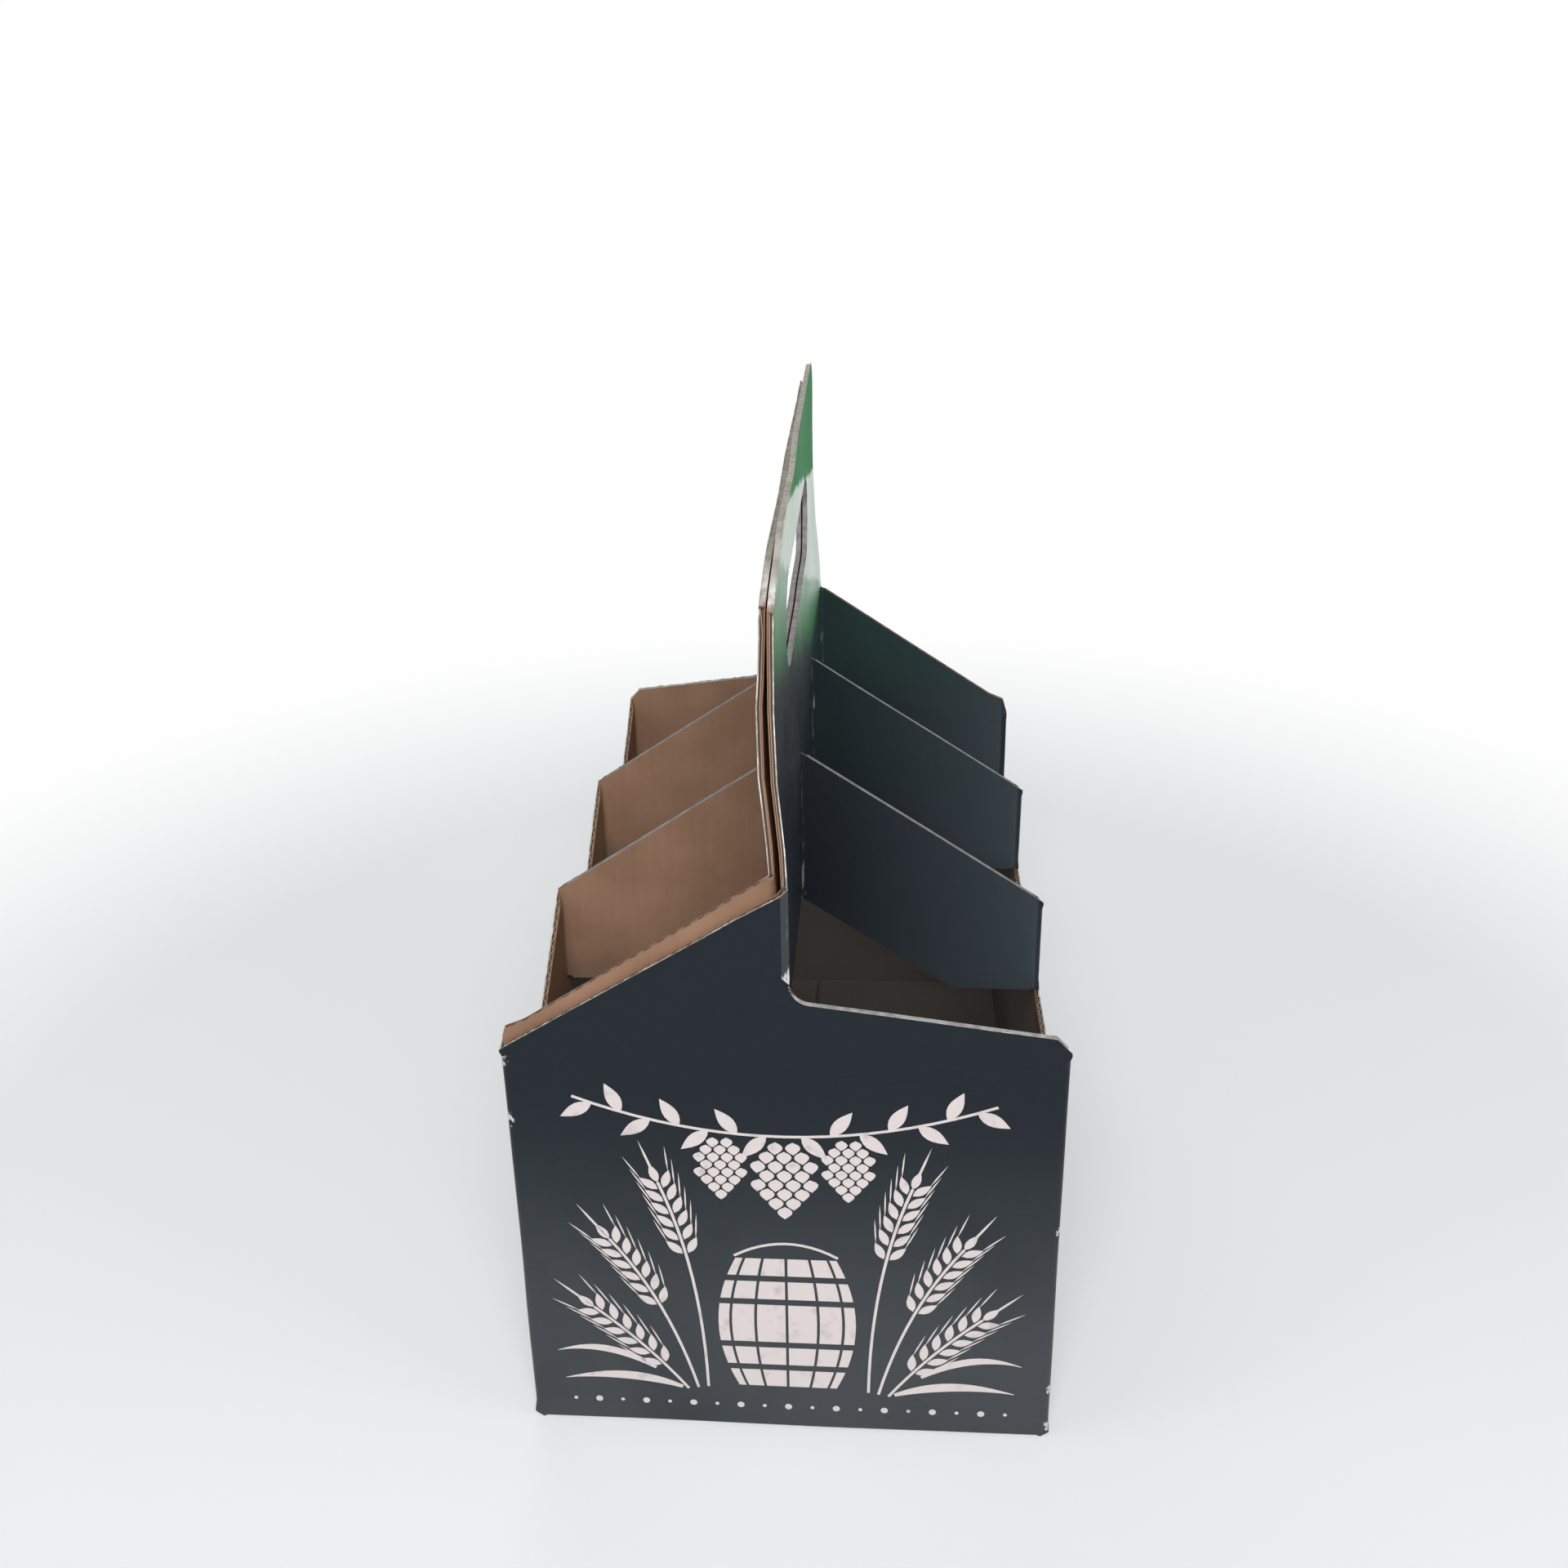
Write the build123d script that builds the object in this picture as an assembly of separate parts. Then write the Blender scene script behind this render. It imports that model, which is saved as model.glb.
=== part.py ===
# Six-bottle carrier, folded and glued from one die-cut sheet of corrugated board.
# X runs across the carrier, Y along its handle from the front panel to the back panel, Z up from the floor.
import os

from build123d import *

# Board
board = 1.4
fold_inner_radius = 0.6
foot_inner_radius = 0.3
ply_gap = 0.5

# Plan
carton_width = 130.0
cell_pitch = 65.0
cells_per_row = 3

# Heights of the die-cut edges above the floor
corner_height = 115.0
strap_top_height = 157.5
dip_height = 88.0
low_edge_height = 126.5
low_edge_drop = 8.0

# Runs and small forms of the die-cut edges
dip_run = 40.0
low_corner_cut = 3.5
crease_corner_radius = 5.0
flap_reveal = 2.8
flap_corner_run = 6.0
flap_corner_drop = 3.0

# Handle
handle_height = 234.0
left_ply_setback = 6.0
handle_corner_radius = 14.0
slot_length = 106.0
slot_height = 24.0
slot_centre_share = 0.56

# Floor
end_flap_length = 60.0
end_flap_taper = 6.0
floor_seam = 1.0
side_flap_setback = 0.8

# Overrun of every cutting or keeping shape past the board
overrun = 5.0

# Sizes that follow
fold_radius = board + fold_inner_radius
foot_radius = board + foot_inner_radius
half_width = carton_width / 2
carton_length = cells_per_row * cell_pitch + 2 * board
front = -carton_length / 2
ply_face = ply_gap / 2 + board
ply_back = ply_gap / 2
corner_leg = 2 * board
left_ply_height = handle_height - left_ply_setback
slot_centre_height = strap_top_height + slot_centre_share * (left_ply_height - strap_top_height)
crease_start = ply_face - fold_radius
strap_slope = (strap_top_height - corner_height) / (half_width - ply_face)


def strap_line(x):
    # Height of the slanted top edge that every strap shares
    return strap_top_height - strap_slope * (x - ply_face)


high_corner = strap_line(half_width) - flap_reveal
high_centre = strap_line(-crease_start) - flap_reveal


def folded_board(points):
    # Board standing along a path in plan, printed side on the right of the path
    with BuildPart() as strip:
        with BuildSketch():
            with BuildLine():
                FilletPolyline(*points, radius=fold_radius)
                offset(amount=board, side=Side.LEFT)
            make_face()
        extrude(amount=handle_height + overrun)
    return strip.part


def seen_from_front(points, near, far):
    # Prism of an outline in X and Z, between two places along Y
    face = make_face(Polyline(*points, close=True))
    return Pos(0, far, 0) * extrude(Plane.XZ * face, amount=far - near)


def seen_from_side(points, left, right):
    # Prism of an outline in Y and Z, between two places along X
    face = make_face(Polyline(*points, close=True))
    return Pos(left, 0, 0) * extrude(Plane.YZ * face, amount=right - left)


def wall_cell(start):
    # Wall above the dip in one cell: full height at the fold, then slanting down to the dip
    outline = [
        (start, dip_height),
        (start, corner_height),
        (start + dip_run, dip_height),
    ]
    return seen_from_side(outline, half_width - fold_radius, half_width + overrun)


def front_panel_outline():
    # High half rising to the centre crease, low half sloping away from the rounded end of the crease
    with BuildSketch() as panel:
        with BuildLine():
            Polyline(
                (-half_width, dip_height),
                (-half_width, high_corner),
                (crease_start, high_centre),
                (crease_start, low_edge_height),
                (half_width - low_corner_cut, low_edge_height - low_edge_drop),
                (half_width, corner_height),
                (half_width, dip_height),
                close=True,
            )
        make_face()
        inner_corner = panel.vertices().sort_by_distance((crease_start, low_edge_height))[0]
        fillet(inner_corner, radius=crease_corner_radius)
    return panel.sketch


def front_panel():
    # Both halves of the panel above the dip, with the first cell of the right wall folded from it
    face = Plane.XZ * front_panel_outline()
    panel = Pos(0, front + fold_radius, 0) * extrude(face, amount=fold_radius + overrun)
    path = [
        (-half_width, front + corner_leg),
        (-half_width, front),
        (half_width, front),
        (half_width, front + cell_pitch),
    ]
    left_turn = Pos(-half_width, front, dip_height) * Box(
        fold_radius,
        corner_leg,
        high_corner - dip_height,
        align=(Align.MIN, Align.MIN, Align.MIN),
    )
    return folded_board(path) & (panel + left_turn + wall_cell(front))


def ply_outline(height):
    # Saw-toothed lower edge left by the straps, rounded top corners and the hand slot
    crease = [front + cell_pitch * (cell + 1) for cell in range(cells_per_row)]
    points = [
        (front, low_edge_height),
        (crease[0] - low_corner_cut, low_edge_height - low_edge_drop),
        (crease[0], corner_height),
    ]
    for here, following in zip(crease, crease[1:]):
        points.append((here, strap_top_height))
        points.append((following, corner_height))
    points.append((crease[-1], height))
    points.append((front, height))
    with BuildSketch() as ply:
        with BuildLine():
            Polyline(*points, close=True)
        make_face()
        fillet(ply.vertices().group_by(Axis.Y)[-1], radius=handle_corner_radius)
        with Locations((0, slot_centre_height)):
            SlotOverall(slot_length, slot_height, mode=Mode.SUBTRACT)
    return ply.sketch


def handle_ply(height):
    # Ply folded back from the centre crease of the front panel
    ply = Pos(ply_back, 0, 0) * extrude(Plane.YZ * ply_outline(height), amount=board)
    crease = Pos(crease_start, front, low_edge_height) * Box(
        fold_radius,
        fold_radius,
        high_centre - low_edge_height,
        align=(Align.MIN, Align.MIN, Align.MIN),
    )
    path = [(-half_width, front), (ply_face, front), (ply_face, -front)]
    return ply - crease + (folded_board(path) & crease)


def strap_outline(outer):
    # Strap seen from the front: parallel slanted edges, level along the dip at its outer end
    return [
        (ply_back, corner_height),
        (ply_back, strap_line(ply_back)),
        (outer, strap_line(outer)),
        (outer, dip_height),
        (ply_face + dip_run, dip_height),
    ]


def strap(number):
    # Strap folded out from the ply, turning into the next cell of the wall at its outer end
    place = front + number * cell_pitch
    path = [(ply_back, place), (half_width, place), (half_width, place + cell_pitch)]
    keep = seen_from_front(strap_outline(half_width), place - overrun, place + fold_radius)
    return folded_board(path) & (keep + wall_cell(place))


def glued_flap():
    # Last strap, doubled back at the corner and glued to the inside of the end panel
    place = front + cells_per_row * cell_pitch
    inner = half_width - flap_corner_run
    outline = [
        (ply_back, corner_height),
        (ply_back, strap_line(ply_back)),
        (inner, strap_line(inner)),
        (half_width - board / 2, strap_line(half_width) - flap_corner_drop),
        (half_width - board / 2, dip_height),
        (ply_face + dip_run, dip_height),
    ]
    return seen_from_front(outline, place, place + board)


def half_sheet(height):
    # Everything above the dip that hangs on one end panel
    half = front_panel() + handle_ply(height) + glued_flap()
    for number in range(1, cells_per_row):
        half += strap(number)
    return half


def below_folds(width, bottom):
    # Space below and beside two rounded folds that stand on the given height
    top = bottom + foot_radius
    space = Pos(0, top) * Rectangle(width + 2 * overrun, top + overrun, align=(Align.CENTER, Align.MAX))
    body = Pos(0, bottom) * Rectangle(width, dip_height, align=(Align.CENTER, Align.MIN))
    return space - fillet(body.vertices().group_by(Axis.Y)[0], radius=foot_radius)


def tray():
    # The four walls below the dip, the end flaps underneath and the side flaps laid on them
    plan = extrude(RectangleRounded(carton_width, carton_length, fold_radius), amount=dip_height)
    hollow_plan = RectangleRounded(carton_width - 2 * board, carton_length - 2 * board, fold_inner_radius)
    hollow = extrude(hollow_plan, amount=dip_height + overrun)
    through = Pos(0, 0, -overrun) * extrude(hollow_plan, amount=dip_height + 2 * overrun)
    below_sides = extrude(Plane.XZ * below_folds(carton_width, board), amount=carton_length, both=True)
    below_ends = extrude(Plane.YZ * below_folds(carton_length, 0), amount=carton_width, both=True)
    walls = plan - through - below_sides - below_ends
    flap_length = carton_length - 2 * (board + side_flap_setback)
    side_flaps = Pos(0, 0, board) * extrude(Rectangle(carton_width, flap_length), amount=foot_radius)
    seam = extrude(Rectangle(floor_seam, carton_length), amount=dip_height)
    side_flaps = side_flaps - below_sides - seam - Pos(0, 0, 2 * board) * hollow
    end_flaps = end_flap() + end_flap().rotate(Axis.Z, 180)
    end_flaps = end_flaps - below_ends - Pos(0, 0, board) * hollow
    return walls + side_flaps + end_flaps


def end_flap():
    # Tapered flap folded in from the foot of an end panel
    reach = front + end_flap_length
    hinge = half_width - fold_radius
    outline = Polyline(
        (-hinge, front),
        (hinge, front),
        (hinge - end_flap_taper, reach),
        (-hinge + end_flap_taper, reach),
        close=True,
    )
    return extrude(make_face(outline), amount=foot_radius)


carrier = tray() + half_sheet(handle_height) + half_sheet(left_ply_height).rotate(Axis.Z, 180)
carrier = carrier.clean()

os.makedirs("parts", exist_ok=True)
export_step(carrier, "parts/bottle_carrier.step")
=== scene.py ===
import math
import random

import bpy
from mathutils import Matrix, Vector


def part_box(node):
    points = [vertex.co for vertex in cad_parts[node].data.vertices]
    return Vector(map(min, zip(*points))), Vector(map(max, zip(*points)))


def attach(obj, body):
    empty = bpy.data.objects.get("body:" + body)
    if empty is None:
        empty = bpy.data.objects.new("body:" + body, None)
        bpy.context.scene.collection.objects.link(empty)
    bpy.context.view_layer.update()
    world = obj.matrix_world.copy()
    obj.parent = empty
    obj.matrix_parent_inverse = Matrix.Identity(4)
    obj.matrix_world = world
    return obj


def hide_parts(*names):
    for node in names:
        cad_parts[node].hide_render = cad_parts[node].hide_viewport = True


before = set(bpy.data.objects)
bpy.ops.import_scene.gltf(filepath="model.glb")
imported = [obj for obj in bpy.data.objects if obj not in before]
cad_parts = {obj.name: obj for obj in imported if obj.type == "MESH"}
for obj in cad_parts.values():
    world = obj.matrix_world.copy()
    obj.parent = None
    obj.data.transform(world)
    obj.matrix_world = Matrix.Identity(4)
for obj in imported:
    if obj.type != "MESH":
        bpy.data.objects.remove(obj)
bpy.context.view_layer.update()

low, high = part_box("bottle_carrier")
scene = bpy.context.scene

seedSize = 0.001               # plane that an outline is pulled out of
weldDistance = 0.00002         # points closer than this become one
foldDistance = 0.00001         # points closer than this lie on a fold
planeDistance = 0.0001         # faces closer than this lie in one plane


# helpers that work on the active piece

def deselectAll():
    if bpy.context.object and bpy.context.object.mode != "OBJECT":
        bpy.ops.object.mode_set(mode="OBJECT")
    bpy.ops.object.select_all(action="DESELECT")


def makeActive(piece):
    deselectAll()
    piece.select_set(True)
    bpy.context.view_layer.objects.active = piece


def editMode(kind, action="DESELECT"):
    bpy.ops.object.mode_set(mode="EDIT")
    bpy.ops.mesh.select_mode(type=kind)
    bpy.ops.mesh.select_all(action=action)


def objectMode():
    bpy.ops.object.mode_set(mode="OBJECT")


def drawPanel(name, points):
    # a plane shrunk to one vertex, pulled round the outline and filled
    deselectAll()
    bpy.ops.mesh.primitive_plane_add(size=seedSize, location=points[0])
    panel = bpy.context.object
    panel.name = name
    bpy.ops.object.transform_apply(location=True, rotation=False, scale=False)
    editMode("VERT", "SELECT")
    bpy.ops.mesh.merge(type="CENTER")
    for here, there in zip(points, points[1:] + points[:1]):
        step = Vector(there) - Vector(here)
        bpy.ops.mesh.extrude_vertices_move(TRANSFORM_OT_translate={"value": step})
    bpy.ops.mesh.select_all(action="SELECT")
    bpy.ops.mesh.remove_doubles(threshold=weldDistance)
    bpy.ops.mesh.edge_face_add()
    objectMode()
    return panel


def joinPieces(pieces, name):
    deselectAll()
    for piece in pieces:
        piece.select_set(True)
    bpy.context.view_layer.objects.active = pieces[0]
    bpy.ops.object.join()
    joined = bpy.context.object
    joined.name = name
    joined.data.name = name
    return joined


def cutAcross(axis, places):
    # bisects the whole active mesh square to one axis
    normal = [0.0, 0.0, 0.0]
    normal[axis] = 1.0
    editMode("EDGE", "SELECT")
    for place in places:
        spot = [0.0, 0.0, 0.0]
        spot[axis] = place
        bpy.ops.mesh.select_all(action="SELECT")
        bpy.ops.mesh.bisect(plane_co=spot, plane_no=normal)
    objectMode()


def faceForward(piece):
    # makes the normals agree, with the first face in the front plane looking to the front
    editMode("FACE", "SELECT")
    bpy.ops.mesh.normals_make_consistent(inside=False)
    objectMode()
    plane = min(face.center.y for face in piece.data.polygons) + planeDistance
    sample = next(face for face in piece.data.polygons if face.center.y < plane)
    if sample.normal.y > 0:
        editMode("FACE", "SELECT")
        bpy.ops.mesh.flip_normals()
        objectMode()


def applyModifier(piece, kind, **values):
    makeActive(piece)
    modifier = piece.modifiers.new(kind.lower(), kind)
    for key, value in values.items():
        setattr(modifier, key, value)
    bpy.ops.object.modifier_apply(modifier=modifier.name)


def addRibbon(name, points, faces, paper):
    # a strip of paper along the cut edges
    mesh = bpy.data.meshes.new(name)
    mesh.from_pydata(points, [], faces)
    piece = bpy.data.objects.new(name, mesh)
    scene.collection.objects.link(piece)
    applyModifier(piece, "SOLIDIFY", thickness=paper, offset=0.0)
    return piece


def closeQuad(points, faces):
    # a face between the last two pairs of points
    base = len(points) - 4
    faces.append((base, base + 1, base + 3, base + 2))


def arcPoints(centre, radius, start, end, steps):
    points = []
    for step in range(steps + 1):
        angle = math.radians(start + (end - start) * step / steps)
        points.append((centre[0] + radius * math.cos(angle), centre[1] + radius * math.sin(angle)))
    return points


def eased(value, lowEnd, highEnd):
    share = max(0.0, min(1.0, (value - lowEnd) / (highEnd - lowEnd)))
    return share * share * (3 - 2 * share)


# carrier: one die-cut sheet, drawn on its printed face panel by panel

carrier = {
    "board": 0.0014,
    "plyGap": 0.0005,
    "pitch": 0.065,
    "cells": 3,
    "corner": 0.115,           # heights of the die-cut edges
    "strapTop": 0.1575,
    "dip": 0.088,
    "lowEdge": 0.1265,
    "lowDrop": 0.008,
    "lowCut": 0.0035,
    "creaseRound": 0.005,
    "dipRun": 0.040,
    "reveal": 0.0028,
    "flapRun": 0.006,
    "leftTop": 0.228,
    "handleRound": 0.014,
    "slotLength": 0.106,
    "slotHeight": 0.024,
    "slotCentre": 0.197,
    "hingeInset": 0.0020,
    "endFlap": 0.060,
    "endTaper": 0.006,
    "setback": 0.0022,
    "seam": 0.001,
    "lift": 0.0015,            # side flaps lie on the end flaps
    "arcSteps": 7,
}

halfWidth, front, rear = high.x, low.y, high.y
halfSlot, slotRound = carrier["slotLength"] / 2, carrier["slotHeight"] / 2
plyFace = carrier["plyGap"] / 2 + carrier["board"]
creases = [front + carrier["pitch"] * (cell + 1) for cell in range(carrier["cells"])]
strapSlope = (carrier["strapTop"] - carrier["corner"]) / (halfWidth - plyFace)
highCorner = carrier["corner"] - carrier["reveal"]
highCentre = carrier["strapTop"] - carrier["reveal"]
hinge = halfWidth - carrier["hingeInset"]
lowSlope = -carrier["lowDrop"] / (carrier["pitch"] - carrier["lowCut"])
lowTilt = math.hypot(1.0, lowSlope)
creaseEnd = carrier["lowEdge"] + carrier["creaseRound"] * (lowSlope + lowTilt)

# die-cut curve from the low edge up into the end of the crease, as run from the crease and height
creaseCurve = arcPoints(
    (carrier["creaseRound"], creaseEnd),
    carrier["creaseRound"],
    math.degrees(math.atan2(-1.0, lowSlope)) + 360,
    180,
    carrier["arcSteps"],
)


def strapLine(x):
    return carrier["strapTop"] - strapSlope * (x - plyFace)


def lowLine(run):
    return carrier["lowEdge"] + lowSlope * run


def endPanelOutline():
    lift, lowEnd = carrier["lift"], halfWidth - carrier["lowCut"]
    outline = [(-halfWidth, lift), (-hinge, 0.0), (hinge, 0.0), (halfWidth, lift)]
    outline += [(halfWidth, carrier["corner"]), (lowEnd, lowLine(lowEnd - plyFace))]
    outline += [(plyFace + run, z) for run, z in creaseCurve]
    outline += [(plyFace, highCentre), (-halfWidth, highCorner), (-halfWidth, carrier["dip"])]
    return [(x, front, z) for x, z in outline]


def wallOutline():
    lift, dip, inset = carrier["lift"], carrier["dip"], carrier["hingeInset"]
    first, second, last = creases
    outline = [(front, lift), (front + inset, lift), (rear - inset, lift), (rear, lift)]
    outline += [(rear, dip), (last, dip)]
    for start in (second, first, front):
        outline += [(start + carrier["dipRun"], dip), (start, carrier["corner"])]
        if start != front:
            outline.append((start, dip))
    return [(halfWidth, y, z) for y, z in outline]


def plyOutlines(plyTop):
    # the handle ply in two parts, which meet at the middle of the hand slot
    slotZ, slotEnd, steps = carrier["slotCentre"], halfSlot - slotRound, carrier["arcSteps"]
    lower = [(front, slotZ), (front, highCentre)]
    lower += [(front + run, z) for run, z in reversed(creaseCurve)]
    lower.append((creases[0] - carrier["lowCut"], lowLine(carrier["pitch"] - carrier["lowCut"])))
    for crease in creases:
        lower += [(crease, carrier["corner"]), (crease, carrier["strapTop"])]
    lower.append((creases[-1], slotZ))
    lower += arcPoints((slotEnd, slotZ), slotRound, 0, -90, steps)
    lower += arcPoints((-slotEnd, slotZ), slotRound, -90, -180, steps)

    topRound = carrier["handleRound"]
    upper = [(front, slotZ)]
    upper += arcPoints((-slotEnd, slotZ), slotRound, 180, 90, steps)
    upper += arcPoints((slotEnd, slotZ), slotRound, 90, 0, steps)
    upper.append((creases[-1], slotZ))
    upper += arcPoints((creases[-1] - topRound, plyTop - topRound), topRound, 0, 90, steps)
    upper += arcPoints((front + topRound, plyTop - topRound), topRound, 90, 180, steps)
    return {
        "plyLower": [(plyFace, y, z) for y, z in lower],
        "plyUpper": [(plyFace, y, z) for y, z in upper],
    }


def strapOutlines():
    # two straps, and the last one with its turn at the corner, which is glued to the end panel
    dip, corner, top = carrier["dip"], carrier["corner"], (plyFace, carrier["strapTop"])
    last = creases[-1]
    root = [(plyFace, corner), (plyFace + carrier["dipRun"], dip), (halfWidth, dip)]
    outlines = {}
    for number, crease in enumerate(creases[:-1]):
        strap = root + [(halfWidth, corner), top]
        outlines["strap%d" % number] = [(x, crease, z) for x, z in strap]
    inner = halfWidth - carrier["flapRun"]
    shoulder = (halfWidth - carrier["board"], (highCorner + strapLine(inner)) / 2 + carrier["board"])
    flap = root + [(halfWidth, highCorner), shoulder, (inner, strapLine(inner)), top]
    outlines["flap"] = [(x, last, z) for x, z in flap]
    turn = [(last, dip), (rear, dip), (rear, highCorner), (last, highCorner)]
    outlines["turn"] = [(halfWidth, y, z) for y, z in turn]
    return outlines


def floorOutlines():
    inset, setback, seam = carrier["hingeInset"], carrier["setback"], carrier["seam"] / 2
    sideFlap = [(halfWidth, front + inset), (halfWidth, rear - inset)]
    sideFlap += [(seam, rear - setback), (seam, front + setback)]
    reach, taper = front + carrier["endFlap"], carrier["endTaper"]
    endFlap = [(-hinge, front), (hinge, front), (hinge - taper, reach), (taper - hinge, reach)]
    return {
        "sideFlap": [(x, y, carrier["lift"]) for x, y in sideFlap],
        "endFlap": [(x, y, 0.0) for x, y in endFlap],
    }


def halfOutlines(plyTop):
    # printed faces of everything that hangs on one end panel
    outlines = {"endPanel": endPanelOutline(), "wall": wallOutline()}
    outlines.update(plyOutlines(plyTop))
    outlines.update(strapOutlines())
    outlines.update(floorOutlines())
    return outlines


def turned(point):
    return (-point[0], -point[1], point[2])


print("carrier: drawing the blank")
panels = []
for name, outline in halfOutlines(high.z).items():
    panels.append(drawPanel("right_" + name, outline))
for name, outline in halfOutlines(carrier["leftTop"]).items():
    panels.append(drawPanel("left_" + name, [turned(point) for point in outline]))
sheet = joinPieces(panels, "carrier_sheet")
editMode("VERT", "SELECT")
bpy.ops.mesh.remove_doubles(threshold=weldDistance)
objectMode()


# folds: bends of the board, pressed creases and the cuts that end them squarely

folding = {
    "corner": 0.0020,          # bend radii
    "foot": 0.0017,
    "hinge": 0.0007,
    "turn": 0.0006,
    "valley": 0.0008,
    "crease": 0.0016,          # pressed crease between end panel and handle
    "facets": 4,
    "valleyFacets": 3,
    "creaseFacets": 1,
    "stop": 1.3,               # radii by which a fold stops short of a cut
    "dipStop": 1.2,
    "cornerStop": 1.4,
    "band": 1.2,               # radii within which a face belongs to its fold
    "capReach": 1.6,
    "capTurn": 0.3,
}

creaseStart = creaseEnd + folding["crease"] * folding["stop"]
valleyStart = carrier["corner"] + folding["valley"] * folding["stop"]
valleyEnd = carrier["strapTop"] - folding["valley"] * folding["stop"]
wallStart = carrier["dip"] + folding["corner"] * folding["dipStop"]
wallEnd = carrier["corner"] - folding["corner"] * folding["cornerStop"]
turnStart = carrier["dip"] + folding["turn"] * folding["dipStop"]
turnEnd = highCorner - folding["corner"] * folding["stop"]
cornerFoot = carrier["lift"] + folding["corner"] * folding["stop"]
hingeEnd = hinge - folding["hinge"] * folding["stop"]
footEnd = rear - carrier["hingeInset"] - folding["foot"] * folding["stop"]

# where the board is cut up so that it can bow, besides the ends of the folds
bowGrid = {
    "acrossFrom": 0.0095,
    "acrossStep": 0.0073,
    "acrossCuts": 7,
    "slot": (0.0075, 0.015, 0.0225, 0.041),
    "alongFrom": 0.041,
    "alongStep": 0.008,
    "alongCuts": 6,
    "upStep": 0.008,
    "upCuts": 10,
    "wall": (0.097, 0.104),
    "strap": 0.122,
    "panel": (0.139, 0.147),
    "ply": (0.165, 0.173, 0.181, 0.203, 0.213, 0.219),
}


def bothWays(places):
    return [side * place for side in (-1, 1) for place in places]


def cutGrid():
    across = [bowGrid["acrossFrom"] + bowGrid["acrossStep"] * step for step in range(bowGrid["acrossCuts"])]
    along = [bowGrid["alongFrom"] + bowGrid["alongStep"] * (step + 1) for step in range(bowGrid["alongCuts"])]
    up = [cornerFoot] + [bowGrid["upStep"] * (step + 1) for step in range(bowGrid["upCuts"])]
    up += [carrier["dip"], turnStart, wallStart, *bowGrid["wall"], turnEnd, wallEnd, carrier["corner"]]
    up += [valleyStart, bowGrid["strap"], creaseEnd, creaseStart, *bowGrid["panel"], highCentre]
    up += [valleyEnd, carrier["strapTop"], *bowGrid["ply"]]
    cutAcross(0, bothWays(across) + [-hingeEnd, hingeEnd])
    cutAcross(1, bothWays(bowGrid["slot"]) + bothWays(along) + [0.0, -footEnd, footEnd])
    cutAcross(2, up)


def halfFolds():
    # fold lines as two ends, a bend radius and how many facets the bend has
    lift, last, facets = carrier["lift"], creases[-1], folding["facets"]
    corner, foot, under = folding["corner"], folding["foot"], folding["hinge"]
    valley, crease = folding["valley"], folding["crease"]
    folds = [
        ((halfWidth, front, cornerFoot), (halfWidth, front, wallEnd), corner, facets),
        ((halfWidth, rear, cornerFoot), (halfWidth, rear, turnEnd), corner, facets),
        ((plyFace, front, creaseStart), (plyFace, front, highCentre), crease, folding["creaseFacets"]),
        ((halfWidth, -footEnd, lift), (halfWidth, footEnd, lift), foot, facets),
        ((-hingeEnd, front, 0.0), (hingeEnd, front, 0.0), under, facets),
        ((halfWidth, last, turnStart), (halfWidth, last, turnEnd), folding["turn"], facets),
    ]
    for y in creases:
        folds.append(((plyFace, y, valleyStart), (plyFace, y, valleyEnd), valley, folding["valleyFacets"]))
        if y != last:
            folds.append(((halfWidth, y, wallStart), (halfWidth, y, wallEnd), corner, facets))
    return folds


def toFold(point, fold):
    # distance from a point to a fold line
    start, end = Vector(fold[0]), Vector(fold[1])
    along = end - start
    share = max(0.0, min(1.0, (point - start).dot(along) / along.length_squared))
    return (start + along * share - point).length


def bendFolds(radius, facets):
    # bevels every fold that has this bend
    sameBend = [fold for fold in folds if fold[2:] == (radius, facets)]
    editMode("EDGE")
    objectMode()
    points = [vertex.co for vertex in sheet.data.vertices]
    for edge in sheet.data.edges:
        ends = [points[index] for index in edge.vertices]
        if any(max(toFold(end, fold) for end in ends) < foldDistance for fold in sameBend):
            edge.select = True
    bpy.ops.object.mode_set(mode="EDIT")
    bpy.ops.mesh.bevel(offset=radius, segments=facets, profile=0.5, affect="EDGES", clamp_overlap=False)
    objectMode()


def capsFold(face, fold):
    # a bevel closes the open end of a fold with a small face across it
    along = (Vector(fold[1]) - Vector(fold[0])).normalized()
    near = min((face.center - Vector(end)).length for end in fold[:2])
    return near < fold[2] * folding["capReach"] and abs(face.normal.dot(along)) > folding["capTurn"]


def edgeUsers(mesh):
    users = {}
    for face in mesh.polygons:
        for key in face.edge_keys:
            users[key] = users.get(key, 0) + 1
    return users


def openFolds():
    # takes the caps away again
    editMode("FACE")
    objectMode()
    users = edgeUsers(sheet.data)
    for face in sheet.data.polygons:
        if min(users[key] for key in face.edge_keys) == 1:
            face.select = any(capsFold(face, fold) for fold in folds)
    bpy.ops.object.mode_set(mode="EDIT")
    bpy.ops.mesh.delete(type="ONLY_FACE")
    objectMode()


def markFolds():
    # how near each vertex is to a fold, and which faces are the rubbed folds of the handle
    foldWear = sheet.data.attributes.new("foldWear", "FLOAT", "POINT")
    for vertex, wear in zip(sheet.data.vertices, foldWear.data):
        nearest = min(toFold(vertex.co, fold) / fold[2] for fold in folds)
        wear.value = max(0.0, 1.0 - nearest)
    for name, radius in (("creaseBand", folding["crease"]), ("valleyBand", folding["valley"])):
        pressed = [fold for fold in folds if fold[2] == radius]
        reach = radius * folding["band"]
        band = sheet.data.attributes.new(name, "FLOAT", "FACE")
        for face, share in zip(sheet.data.polygons, band.data):
            corners = [sheet.data.vertices[index].co for index in face.vertices]
            if any(max(toFold(corner, fold) for corner in corners) < reach for fold in pressed):
                share.value = 1.0


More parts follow.
